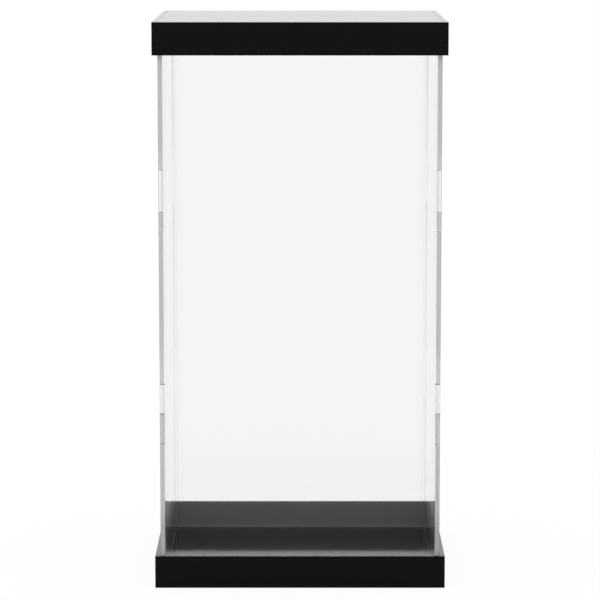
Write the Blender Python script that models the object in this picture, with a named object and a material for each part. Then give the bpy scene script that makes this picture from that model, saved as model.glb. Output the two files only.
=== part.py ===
"""Acrylic display box, standing 24 cm tall.

Two shallow trays of black acrylic, one the base and one turned over as the lid, hold four clear
sheets between them. The sheets lock into each other with fingers along their upright edges, and
stand as one open sleeve. The sleeve lifts out of the base and the lid lifts off the sleeve.

Metres, +Z up. The origin is the middle of the base's underside, -Y is the front and +X the
right-hand side as seen from the front.
"""

from math import radians

import bmesh
import bpy

# Outside of the box. The base and the lid have the same outline.
WIDTH = 0.1232
DEPTH = 0.113
HEIGHT = 0.240

# Base and lid: a flat plate with four rim strips around it, all cut from black sheet.
TRAY_HEIGHT = 0.0138
PLATE_THICKNESS = 0.002
RIM_THICKNESS = 0.002
CEMENT_GAP = 0.0003

# Sleeve: four clear sheets.
WALL_THICKNESS = 0.002
SLIP_GAP = 0.0003
SEAT_GAP = 0.0003

# Fingers along the upright edges of the front and back sheets, and their notches.
FINGER_COUNT = 2
FINGER_LENGTH = 0.0254
FINGER_PITCH = 0.0908
FINGER_GAP = 0.0003

# Edges of the cut sheets are broken by this much.
RIM_EDGE_ROUND = 0.0002
WALL_EDGE_ROUND = 0.00015
EDGE_SEGMENTS = 3
SHARP_ANGLE = radians(35)
BEVEL_ANGLE = radians(40)

# Black and clear acrylic, as the photograph shows them.
BLACK = {"color": (0.006, 0.006, 0.0065, 1.0), "roughness": 0.1, "transmission": 0.0}
CLEAR = {"color": (0.97, 0.975, 0.975, 1.0), "roughness": 0.03, "transmission": 1.0}
ACRYLIC_IOR = 1.49

# Sizes that follow from those above
SLEEVE_WIDTH = WIDTH - 2 * (RIM_THICKNESS + SLIP_GAP)
SLEEVE_DEPTH = DEPTH - 2 * (RIM_THICKNESS + SLIP_GAP)
SLEEVE_FOOT = PLATE_THICKNESS + SEAT_GAP
SLEEVE_HEIGHT = HEIGHT - 2 * SLEEVE_FOOT
FINGER_REACH = WALL_THICKNESS + FINGER_GAP


def clear_scene():
    for obj in list(bpy.data.objects):
        bpy.data.objects.remove(obj)


def acrylic(name, look):
    """A Principled material of its own for one sheet."""
    material = bpy.data.materials.new(name)
    material.use_nodes = True
    material.diffuse_color = look["color"]
    shader = material.node_tree.nodes["Principled BSDF"]
    shader.inputs["Base Color"].default_value = look["color"]
    shader.inputs["Roughness"].default_value = look["roughness"]
    shader.inputs["Metallic"].default_value = 0.0
    shader.inputs["IOR"].default_value = ACRYLIC_IOR
    shader.inputs["Transmission Weight"].default_value = look["transmission"]
    return material


def empty(name, parent, height):
    """A moving group's own origin, on the upright line that the group slides along."""
    group = bpy.data.objects.new(name, None)
    bpy.context.scene.collection.objects.link(group)
    group.parent = parent
    group.location = (0, 0, height)
    return group


def cut_sheet(name, parent, outline, thickness, edge_round, look):
    """A sheet cut to an outline, centred on its own origin, with its edges broken."""
    bm = bmesh.new()
    face = bm.faces.new([bm.verts.new((u, v, -thickness / 2)) for u, v in outline])
    extruded = bmesh.ops.extrude_face_region(bm, geom=[face])["geom"]
    risen = [item for item in extruded if isinstance(item, bmesh.types.BMVert)]
    bmesh.ops.translate(bm, verts=risen, vec=(0, 0, thickness))
    bmesh.ops.recalc_face_normals(bm, faces=bm.faces)
    mesh = bpy.data.meshes.new(name)
    bm.to_mesh(mesh)
    bm.free()
    mesh.shade_smooth()
    mesh.set_sharp_from_angle(angle=SHARP_ANGLE)
    mesh.materials.append(acrylic(name + "_acrylic", look))

    sheet = bpy.data.objects.new(name, mesh)
    bpy.context.scene.collection.objects.link(sheet)
    sheet.parent = parent
    broken = sheet.modifiers.new("broken_edges", "BEVEL")
    broken.width = edge_round
    broken.segments = EDGE_SEGMENTS
    broken.limit_method = "ANGLE"
    broken.angle_limit = BEVEL_ANGLE
    return sheet


def rectangle(length, breadth):
    u, v = length / 2, breadth / 2
    return [(-u, -v), (u, -v), (u, v), (-u, v)]


def fingered_rectangle(half_width, half_at_fingers, half_height, finger_length):
    """A rectangle whose two upright edges step to half_at_fingers at each finger's height."""
    right_edge = [(half_width, -half_height)]
    for index in range(FINGER_COUNT):
        middle = (index - (FINGER_COUNT - 1) / 2) * FINGER_PITCH
        low, high = middle - finger_length / 2, middle + finger_length / 2
        right_edge.append((half_width, low))
        right_edge.append((half_at_fingers, low))
        right_edge.append((half_at_fingers, high))
        right_edge.append((half_width, high))
    right_edge.append((half_width, half_height))
    return right_edge + [(-u, v) for u, v in reversed(right_edge)]


def tray(name, parent, plate_side):
    """A plate with a rim strip along each side. plate_side is -1 for a plate below its rim, 1 above.

    The strips stand the tray's full height around the plate. Those at the front and back run
    from corner to corner and the other two fit between them.
    """
    plate_width = WIDTH - 2 * (RIM_THICKNESS + CEMENT_GAP)
    plate_depth = DEPTH - 2 * (RIM_THICKNESS + CEMENT_GAP)
    rim_middle = -plate_side * TRAY_HEIGHT / 2

    plate = cut_sheet(
        name + "_plate", parent, rectangle(plate_width, plate_depth), PLATE_THICKNESS, RIM_EDGE_ROUND, BLACK
    )
    plate.location = (0, 0, -plate_side * PLATE_THICKNESS / 2)

    for side, way in (("front", -1), ("back", 1)):
        strip = cut_sheet(
            f"{name}_{side}_rim", parent, rectangle(WIDTH, TRAY_HEIGHT), RIM_THICKNESS, RIM_EDGE_ROUND, BLACK
        )
        strip.rotation_euler = (radians(90), 0, 0)
        strip.location = (0, way * (DEPTH - RIM_THICKNESS) / 2, rim_middle)

    for side, way in (("left", -1), ("right", 1)):
        strip = cut_sheet(
            f"{name}_{side}_rim",
            parent,
            rectangle(plate_depth, TRAY_HEIGHT),
            RIM_THICKNESS,
            RIM_EDGE_ROUND,
            BLACK,
        )
        strip.rotation_euler = (radians(90), 0, radians(90))
        strip.location = (way * (WIDTH - RIM_THICKNESS) / 2, 0, rim_middle)


def sleeve(parent):
    """Four clear sheets. The front and back ones pass fingers out through the side ones."""
    middle = SLEEVE_HEIGHT / 2
    half_span = SLEEVE_WIDTH / 2
    between_sides = half_span - FINGER_REACH
    for side, way in (("front", -1), ("back", 1)):
        outline = fingered_rectangle(between_sides, half_span, middle, FINGER_LENGTH)
        wall = cut_sheet(side + "_wall", parent, outline, WALL_THICKNESS, WALL_EDGE_ROUND, CLEAR)
        wall.rotation_euler = (radians(90), 0, 0)
        wall.location = (0, way * (SLEEVE_DEPTH - WALL_THICKNESS) / 2, middle)

    half_depth = SLEEVE_DEPTH / 2
    notch_floor = half_depth - FINGER_REACH
    notch_length = FINGER_LENGTH + 2 * FINGER_GAP
    for side, way in (("left", -1), ("right", 1)):
        outline = fingered_rectangle(half_depth, notch_floor, middle, notch_length)
        wall = cut_sheet(side + "_wall", parent, outline, WALL_THICKNESS, WALL_EDGE_ROUND, CLEAR)
        wall.rotation_euler = (radians(90), 0, radians(90))
        wall.location = (way * (SLEEVE_WIDTH - WALL_THICKNESS) / 2, 0, middle)


def main():
    clear_scene()
    base = empty("base_group", None, 0)
    walls = empty("walls_group", base, SLEEVE_FOOT)
    lid = empty("lid_group", walls, HEIGHT - SLEEVE_FOOT)
    tray("base", base, -1)
    sleeve(walls)
    tray("lid", lid, 1)


main()
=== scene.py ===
"""Looks of the acrylic display box: gloss black trays, clear finger-jointed walls, white studio."""

from math import radians

import bmesh
import bpy
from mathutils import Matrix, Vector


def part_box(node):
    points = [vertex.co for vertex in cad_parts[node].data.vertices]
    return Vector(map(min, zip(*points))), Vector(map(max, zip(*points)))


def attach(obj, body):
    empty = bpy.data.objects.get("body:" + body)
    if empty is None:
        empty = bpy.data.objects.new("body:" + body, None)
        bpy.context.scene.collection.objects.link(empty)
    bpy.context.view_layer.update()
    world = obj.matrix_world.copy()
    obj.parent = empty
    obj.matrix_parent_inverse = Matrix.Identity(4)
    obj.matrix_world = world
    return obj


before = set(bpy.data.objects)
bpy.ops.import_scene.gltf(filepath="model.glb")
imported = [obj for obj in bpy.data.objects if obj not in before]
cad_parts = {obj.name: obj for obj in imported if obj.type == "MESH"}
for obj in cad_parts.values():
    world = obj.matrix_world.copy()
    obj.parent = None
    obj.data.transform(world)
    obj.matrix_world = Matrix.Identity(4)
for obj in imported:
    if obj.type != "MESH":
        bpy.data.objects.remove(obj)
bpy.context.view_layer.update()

# Photograph frame and camera, in pixels, millimetres, metres and degrees
FRAME_PIXELS = 600
FOCAL_PIXELS = 2865.0
SENSOR_WIDTH_MM = 36.0
CAMERA_PLACE = (0.0, -1.2464, 0.2947)
CAMERA_TILT = 8.171

# Studio light: a white tent behind and above, a dim room in front, and the floor's grey elsewhere.
# Each pair is the Y or Z part of a direction, where a zone begins and where it is whole.
TENT_LIGHT = 1.0
ROOM_LIGHT = 0.12
FLOOR_LIGHT = 0.38
TENT_BEHIND_Y = (0.35, 0.60)
TENT_ABOVE_Z = (0.0, 0.16)
ROOM_AHEAD_Y = (-0.70, -0.88)
ROOM_BELOW_Z = (0.45, 0.30)
ROOM_HORIZON_Z = (-0.02, 0.12)

# Floor, in metres. In reflections it is white behind the box, grey around that, and darker in a
# strip ahead of the box, a painted shadow of the box. Each pair is the stretch over which one level
# turns into the next.
FLOOR_SIZE = 16.0
FLOOR_DROP = 0.0002
FLOOR_ALBEDO = 0.08
FLOOR_GLOW = 0.925
GLOW_BEHIND_Y = (0.056, 0.12)
GLOW_BESIDE_X = (0.35, 0.60)
PAINTED_SHADOW_LIGHT = 0.23
PAINTED_SHADOW_FAR_Y = (-0.170, -0.160)
PAINTED_SHADOW_NEAR_Y = (-0.118, -0.114)

# The photograph's black level, and enough bounces for light that runs along 2 mm sheets
BLACK_POINT = 0.009
MAX_BOUNCES = 96
CLEAR_BOUNCES = 48

# Acrylic of either colour: the noise on its cut edges, the range that every noise is stretched
# from, and how squarely a point looks along the sheet's thickness on a face and on an edge
ACRYLIC_IOR = 1.49
CUT_NOISE = {"scale": 900.0, "detail": 3.0}
NOISE_RANGE = (0.3, 0.7)
FACE_TO_EDGE = (0.9, 0.3)

# Black acrylic: the colour of its sheets, the grey painted on the rims' inner faces as a painted
# reflection of the bright studio, how squarely a point faces inwards where that painted reflection
# begins and is whole, and each surface's lowest and highest roughness
BLACK = (0.0022, 0.0022, 0.0024, 1.0)
PAINTED_REFLECTION_GREY = (0.40, 0.40, 0.40, 1.0)
PAINTED_REFLECTION_FACING = (0.8, 0.95)
LID_ROUGHNESS = (0.09, 0.11)
RIM_ROUGHNESS = (0.06, 0.075)
PLATE_ROUGHNESS = (0.08, 0.10)
BLACK_CUT_ROUGHNESS = (0.09, 0.15)
HAZE_NOISE = {"scale": 160.0, "detail": 5.0}
CUT_BUMP = {"strength": 0.25, "distance": 0.00001}

# Sides of a tray: the axis of the sheet's thickness, and the way along it that its inner face
# looks, or 0 for the plate, which gets no grey painted reflection
TRAY_SIDES = {
    "plate": ("Z", 0.0),
    "front": ("Y", 1.0),
    "back": ("Y", -1.0),
    "left": ("X", 1.0),
    "right": ("X", -1.0),
}

# Clear acrylic and its frosted cut edges. FROST_TRANSMISSION is how much the frost lets through as
# seen from outside and from inside the sheet. A side sheet is frosted up to FROST_EDGE from its
# outer edges, and from FROST_END inwards, in its notches, it has only the share NOTCH_FROST of that.
CLEAR = (1.0, 1.0, 1.0, 1.0)
FROST = (0.80, 0.80, 0.80, 1.0)
FROST_ROUGHNESS = (0.36, 0.46)
FROST_TRANSMISSION = (0.33, 0.59)
FROST_EDGE = 0.0005
FROST_END = 0.001
NOTCH_FROST = 0.09

# Painted shade: grey painted on the front and back sheets towards the finger joints, darkening the
# corners where the sheets meet. A wide and a narrow band each have the distances from the side
# sheet's inner face where they begin and are whole, and their share.
JOINT_PAINTED_SHADE = (0.93, 0.93, 0.93, 1.0)
SHADE_BANDS = ((0.0048, 0.0003, 0.45), (0.0017, 0.0005, 0.55))
SHADE_STOP = 0.00025

# Cement in the seams of the trays: how far it lies below the faces at its sides and its middle,
# how far it reaches over the sheets' rounded edges, how far into the sheets, and at what depth
BEAD_SIDE = 0.00002
BEAD_MIDDLE = 0.00005
BEAD_LIP = 0.00012
BEAD_OVERLAP = 0.00002
BEAD_SHOULDER = 0.00025
CEMENT_DARK = (0.0030, 0.0030, 0.0032, 1.0)
CEMENT_LIGHT = (0.0100, 0.0100, 0.0105, 1.0)
CEMENT_ROUGHNESS = (0.12, 0.20)
CEMENT_NOISE = {"scale": 420.0, "detail": 4.0}
CEMENT_BUMP = {"strength": 0.3, "distance": 0.00001}


def node(tree, kind, **settings):
    made = tree.nodes.new(kind)
    for key, value in settings.items():
        setattr(made, key, value)
    return made


def feed(tree, value, socket):
    """Links an output to a socket, or sets the socket to a number, a vector or a colour."""
    if isinstance(value, bpy.types.NodeSocket):
        tree.links.new(value, socket)
    else:
        socket.default_value = value


def math_node(tree, operation, *inputs):
    made = node(tree, "ShaderNodeMath", operation=operation)
    for index, value in enumerate(inputs):
        feed(tree, value, made.inputs[index])
    return made.outputs[0]


def map_range(tree, value, low, high, to_low, to_high, smooth=True):
    made = node(tree, "ShaderNodeMapRange", interpolation_type="SMOOTHSTEP" if smooth else "LINEAR")
    feed(tree, value, made.inputs["Value"])
    for key, number in (("From Min", low), ("From Max", high), ("To Min", to_low), ("To Max", to_high)):
        feed(tree, number, made.inputs[key])
    return made.outputs["Result"]


def mix_colours(tree, factor, first, second):
    made = node(tree, "ShaderNodeMix", data_type="RGBA")
    for key, value in (("Factor", factor), ("A", first), ("B", second)):
        feed(tree, value, made.inputs[key])
    return made.outputs["Result"]


def split(tree, vector):
    made = node(tree, "ShaderNodeSeparateXYZ")
    feed(tree, vector, made.inputs[0])
    return made.outputs


def noise(tree, place, scale, detail):
    made = node(tree, "ShaderNodeTexNoise")
    feed(tree, scale, made.inputs["Scale"])
    feed(tree, detail, made.inputs["Detail"])
    feed(tree, place, made.inputs["Vector"])
    return made.outputs["Fac"]


def bump(tree, height, strength, distance):
    made = node(tree, "ShaderNodeBump")
    feed(tree, strength, made.inputs["Strength"])
    feed(tree, distance, made.inputs["Distance"])
    feed(tree, height, made.inputs["Height"])
    return made.outputs["Normal"]


def acrylic_material(name):
    material = bpy.data.materials.new(name)
    material.use_nodes = True
    tree = material.node_tree
    shader = tree.nodes["Principled BSDF"]
    feed(tree, ACRYLIC_IOR, shader.inputs["IOR"])
    return material, tree, shader


def sheet_marks(tree, thickness_axis):
    """A sheet's points and normals, how much a point is on a cut edge, and the cut's fine stripes."""
    coords = node(tree, "ShaderNodeTexCoord")
    normal = split(tree, coords.outputs["Normal"])
    facing = math_node(tree, "ABSOLUTE", normal[thickness_axis])
    edge = map_range(tree, facing, *FACE_TO_EDGE, 0.0, 1.0)
    across = node(tree, "ShaderNodeVectorMath", operation="MULTIPLY")
    feed(tree, coords.outputs["Object"], across.inputs[0])
    feed(tree, [0.0 if axis == thickness_axis else 1.0 for axis in "XYZ"], across.inputs[1])
    stripes = noise(tree, across.outputs[0], **CUT_NOISE)
    return coords.outputs["Object"], normal, edge, stripes


def black_acrylic(sheet, roughness):
    """Gloss black, with a grey painted reflection on the inner face of a rim strip."""
    material, tree, shader = acrylic_material(sheet + "_black")
    axis, inward = TRAY_SIDES[sheet.split("_")[1]]
    place, normal, edge, stripes = sheet_marks(tree, axis)
    colour = BLACK
    if inward:
        # Painted reflection: the rims' inner faces get a grey base colour in place of the studio light
        # they mirror.
        facing = math_node(tree, "MULTIPLY", normal[axis], inward)
        painted_reflection = map_range(tree, facing, *PAINTED_REFLECTION_FACING, 0.0, 1.0)
        colour = mix_colours(tree, painted_reflection, BLACK, PAINTED_REFLECTION_GREY)
    feed(tree, colour, shader.inputs["Base Color"])

    haze = noise(tree, place, **HAZE_NOISE)
    face_rough = map_range(tree, haze, *NOISE_RANGE, *roughness)
    cut_rough = map_range(tree, stripes, *NOISE_RANGE, *BLACK_CUT_ROUGHNESS)
    rough = map_range(tree, edge, 0.0, 1.0, face_rough, cut_rough, smooth=False)
    feed(tree, rough, shader.inputs["Roughness"])
    cut = math_node(tree, "MULTIPLY", edge, stripes)
    feed(tree, bump(tree, cut, **CUT_BUMP), shader.inputs["Normal"])
    return material


def near_ends(tree, along, low, high):
    """1 close to either end of a sheet that reaches from low to high, and NOTCH_FROST inwards."""
    from_middle = math_node(tree, "SUBTRACT", along, (low + high) / 2)
    from_middle = math_node(tree, "ABSOLUTE", from_middle)
    reach = (high - low) / 2
    return map_range(tree, from_middle, reach - FROST_END, reach - FROST_EDGE, NOTCH_FROST, 1.0)


def painted_joint_shade(tree, place):
    """The colour of a front or back sheet's faces, with painted shade that greys them slightly towards
    the joints.
    """
    side_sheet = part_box("right_wall")[0].x
    beside = math_node(tree, "ABSOLUTE", place["X"])
    shade = 0.0
    for begin, whole, share in SHADE_BANDS:
        band = map_range(tree, beside, side_sheet - begin, side_sheet - whole, 0.0, share)
        shade = math_node(tree, "ADD", band, shade)
    before = math_node(tree, "LESS_THAN", beside, side_sheet - SHADE_STOP)
    return mix_colours(tree, math_node(tree, "MULTIPLY", shade, before), CLEAR, JOINT_PAINTED_SHADE)


def clear_acrylic(sheet):
    """Clear faces and frosted cut edges, apart from the notches of the side sheets."""
    material, tree, shader = acrylic_material(sheet + "_clear")
    side_sheet = sheet in ("left_wall", "right_wall")
    place, _, edge, stripes = sheet_marks(tree, "X" if side_sheet else "Y")
    place = split(tree, place)
    face = CLEAR
    if side_sheet:
        low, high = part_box(sheet)
        upright = near_ends(tree, place["Y"], low.y, high.y)
        level = near_ends(tree, place["Z"], low.z, high.z)
        edge = math_node(tree, "MULTIPLY", edge, math_node(tree, "MAXIMUM", upright, level))
    else:
        # Painted shade on the front and back sheets near the finger joints.
        face = painted_joint_shade(tree, place)
    feed(tree, mix_colours(tree, edge, face, FROST), shader.inputs["Base Color"])
    frost_rough = map_range(tree, stripes, *NOISE_RANGE, *FROST_ROUGHNESS)
    feed(tree, math_node(tree, "MULTIPLY", edge, frost_rough), shader.inputs["Roughness"])
    inside = node(tree, "ShaderNodeNewGeometry").outputs["Backfacing"]
    through = map_range(tree, inside, 0.0, 1.0, *FROST_TRANSMISSION, smooth=False)
    through = map_range(tree, edge, 0.0, 1.0, 1.0, through)
    feed(tree, through, shader.inputs["Transmission Weight"])
    return material


def cement_material(name):
    material, tree, shader = acrylic_material(name)
    coords = node(tree, "ShaderNodeTexCoord")
    lumps = noise(tree, coords.outputs["Object"], **CEMENT_NOISE)
    feed(tree, mix_colours(tree, lumps, CEMENT_DARK, CEMENT_LIGHT), shader.inputs["Base Color"])
    rough = map_range(tree, lumps, *NOISE_RANGE, *CEMENT_ROUGHNESS)
    feed(tree, rough, shader.inputs["Roughness"])
    feed(tree, bump(tree, lumps, **CEMENT_BUMP), shader.inputs["Normal"])
    return material


def loft(bm, loops, closed):
    """Quads between rows of points. The first and last row meet if closed, or else get a face each."""
    rows = [[bm.verts.new(point) for point in loop] for loop in loops]
    count = len(rows[0])
    pairs = list(zip(rows, rows[1:])) + ([(rows[-1], rows[0])] if closed else [])
    for row, after in pairs:
        for index in range(count):
            following = (index + 1) % count
            bm.faces.new((row[index], row[following], after[following], after[index]))
    if not closed:
        bm.faces.new(rows[0])
        bm.faces.new(reversed(rows[-1]))


def bead_round_plate(bm, tray):
    """The bead between a tray's plate and its rim: a ring that is slightly hollow on both faces."""
    plate_low, plate_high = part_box(tray + "_plate")
    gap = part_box(tray + "_right_rim")[0].x - plate_high.x
    profile = []
    for face, inward in ((plate_high.z, -1), (plate_low.z, 1)):
        half = [
            (-BEAD_OVERLAP, face + inward * BEAD_SHOULDER),
            (-BEAD_LIP, face + inward * BEAD_SIDE),
            (gap / 2, face + inward * BEAD_MIDDLE),
            (gap + BEAD_LIP, face + inward * BEAD_SIDE),
            (gap + BEAD_OVERLAP, face + inward * BEAD_SHOULDER),
        ]
        profile += half if inward < 0 else reversed(half)
    ring = []
    for way_x, way_y in ((1, 1), (-1, 1), (-1, -1), (1, -1)):
        corner = []
        for reach, z in profile:
            corner.append((way_x * (plate_high.x + reach), way_y * (plate_high.y + reach), z))
        ring.append(corner)
    loft(bm, ring, closed=True)


def bead_at_corner(bm, tray, way_x, way_y):
    """The bead between the end of a side strip and the front or back strip that it meets."""
    low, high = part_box(tray + "_right_rim")
    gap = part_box(tray + "_back_rim")[0].y - high.y
    stations = (
        (-BEAD_OVERLAP, BEAD_SIDE),
        (gap / 2, BEAD_MIDDLE),
        (gap + BEAD_OVERLAP, BEAD_SIDE),
    )
    rows = []
    for reach, depth in stations:
        y = way_y * (high.y + reach)
        near, far = way_x * (low.x + BEAD_OVERLAP), way_x * (high.x - depth)
        foot, head = low.z + depth, high.z - depth
        rows.append([(near, y, foot), (far, y, foot), (far, y, head), (near, y, head)])
    loft(bm, rows, closed=False)


def cement(tray):
    """The cement that fills the seams between a tray's plate and its four rim strips."""
    bm = bmesh.new()
    bead_round_plate(bm, tray)
    for way_x in (-1, 1):
        for way_y in (-1, 1):
            bead_at_corner(bm, tray, way_x, way_y)
    bmesh.ops.recalc_face_normals(bm, faces=bm.faces)
    mesh = bpy.data.meshes.new(tray + "_cement")
    bm.to_mesh(mesh)
    bm.free()
    mesh.materials.append(cement_material(tray + "_cement"))
    bead = bpy.data.objects.new(tray + "_cement", mesh)
    bpy.context.scene.collection.objects.link(bead)
    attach(bead, tray)


def sheet_material(sheet):
    if sheet.endswith("_wall"):
        return clear_acrylic(sheet)
    if sheet.startswith("lid"):
        return black_acrylic(sheet, LID_ROUGHNESS)
    return black_acrylic(sheet, PLATE_ROUGHNESS if sheet.endswith("_plate") else RIM_ROUGHNESS)


def dress():
    """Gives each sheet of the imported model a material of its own."""
    for sheet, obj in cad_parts.items():
        obj.data.materials.clear()
        obj.data.materials.append(sheet_material(sheet))
        for polygon in obj.data.polygons:
            polygon.material_index = 0


def backdrop_level(tree, straight, studio):
    """The studio's light in reflections, and even white straight on or through the clear sheets."""
    path = node(tree, "ShaderNodeLightPath")
    turned = math_node(tree, "ADD", path.outputs["Glossy Depth"], path.outputs["Diffuse Depth"])
    reflected = math_node(tree, "GREATER_THAN", turned, 0.5)
    return map_range(tree, reflected, 0.0, 1.0, straight, studio, smooth=False)


def floor_material():
    """A pale glow and a weak matt surface, which lets the box leave a faint shadow, and a painted
    shadow ahead of the box in reflections.
    """
    material = bpy.data.materials.new("studio_floor")
    material.use_nodes = True
    tree = material.node_tree
    tree.nodes.clear()
    coords = node(tree, "ShaderNodeTexCoord")
    place = split(tree, coords.outputs["Object"])
    behind = map_range(tree, place["Y"], *GLOW_BEHIND_Y, 0.0, 1.0)
    beside = map_range(tree, math_node(tree, "ABSOLUTE", place["X"]), *GLOW_BESIDE_X, 1.0, 0.0)
    lit = math_node(tree, "MULTIPLY", behind, beside)
    # The darker strip ahead of the box is a painted shadow, seen only in reflections.
    grey, painted_shadow = FLOOR_LIGHT - FLOOR_ALBEDO, PAINTED_SHADOW_LIGHT - FLOOR_ALBEDO
    ahead = map_range(tree, place["Y"], *PAINTED_SHADOW_FAR_Y, grey, painted_shadow)
    ahead = map_range(tree, place["Y"], *PAINTED_SHADOW_NEAR_Y, ahead, grey)
    studio = map_range(tree, lit, 0.0, 1.0, ahead, FLOOR_GLOW, smooth=False)
    glow = node(tree, "ShaderNodeEmission")
    feed(tree, backdrop_level(tree, FLOOR_GLOW, studio), glow.inputs["Strength"])
    matt = node(tree, "ShaderNodeBsdfDiffuse")
    feed(tree, (FLOOR_ALBEDO, FLOOR_ALBEDO, FLOOR_ALBEDO, 1.0), matt.inputs["Color"])
    both = node(tree, "ShaderNodeAddShader")
    feed(tree, glow.outputs[0], both.inputs[0])
    feed(tree, matt.outputs[0], both.inputs[1])
    out = node(tree, "ShaderNodeOutputMaterial")
    feed(tree, both.outputs[0], out.inputs["Surface"])
    return material


def make_floor():
    half = FLOOR_SIZE / 2
    corners = [(-half, -half), (half, -half), (half, half), (-half, half)]
    mesh = bpy.data.meshes.new("studio_floor")
    mesh.from_pydata([(x, y, -FLOOR_DROP) for x, y in corners], [], [(0, 1, 2, 3)])
    mesh.materials.append(floor_material())
    floor = bpy.data.objects.new("studio_floor", mesh)
    bpy.context.scene.collection.objects.link(floor)


def make_world():
    world = bpy.data.worlds.new("studio")
    bpy.context.scene.world = world
    world.use_nodes = True
    tree = world.node_tree
    background = tree.nodes["Background"]
    feed(tree, (1.0, 1.0, 1.0, 1.0), background.inputs["Color"])
    coords = node(tree, "ShaderNodeTexCoord")
    way = split(tree, coords.outputs["Generated"])
    behind = map_range(tree, way["Y"], *TENT_BEHIND_Y, 0.0, 1.0)
    above = map_range(tree, way["Z"], *TENT_ABOVE_Z, 0.0, 1.0)
    lit = math_node(tree, "MAXIMUM", behind, above)
    tent = map_range(tree, lit, 0.0, 1.0, FLOOR_LIGHT, TENT_LIGHT, smooth=False)
    ahead = map_range(tree, way["Y"], *ROOM_AHEAD_Y, 0.0, 1.0)
    below = map_range(tree, way["Z"], *ROOM_BELOW_Z, 0.0, 1.0)
    dim = math_node(tree, "MULTIPLY", ahead, below)
    room = map_range(tree, way["Z"], *ROOM_HORIZON_Z, FLOOR_LIGHT, ROOM_LIGHT)
    studio = map_range(tree, dim, 0.0, 1.0, tent, room, smooth=False)
    feed(tree, backdrop_level(tree, TENT_LIGHT, studio), background.inputs["Strength"])


def make_camera():
    data = bpy.data.cameras.new("camera")
    data.sensor_width = SENSOR_WIDTH_MM
    data.lens = FOCAL_PIXELS / FRAME_PIXELS * SENSOR_WIDTH_MM
    camera = bpy.data.objects.new("camera", data)
    bpy.context.scene.collection.objects.link(camera)
    camera.location = CAMERA_PLACE
    camera.rotation_euler = (radians(90 - CAMERA_TILT), 0, 0)
    bpy.context.scene.camera = camera


def set_colour_and_bounces():
    scene = bpy.context.scene
    scene.view_settings.view_transform = "Standard"
    scene.view_settings.look = "None"
    scene.view_settings.use_curve_mapping = True
    scene.view_settings.curve_mapping.black_level = (BLACK_POINT, BLACK_POINT, BLACK_POINT)
    scene.view_settings.curve_mapping.update()
    scene.cycles.max_bounces = MAX_BOUNCES
    scene.cycles.glossy_bounces = MAX_BOUNCES
    scene.cycles.transmission_bounces = CLEAR_BOUNCES


cement("base")
cement("lid")
dress()
make_floor()
make_world()
make_camera()
set_colour_and_bounces()
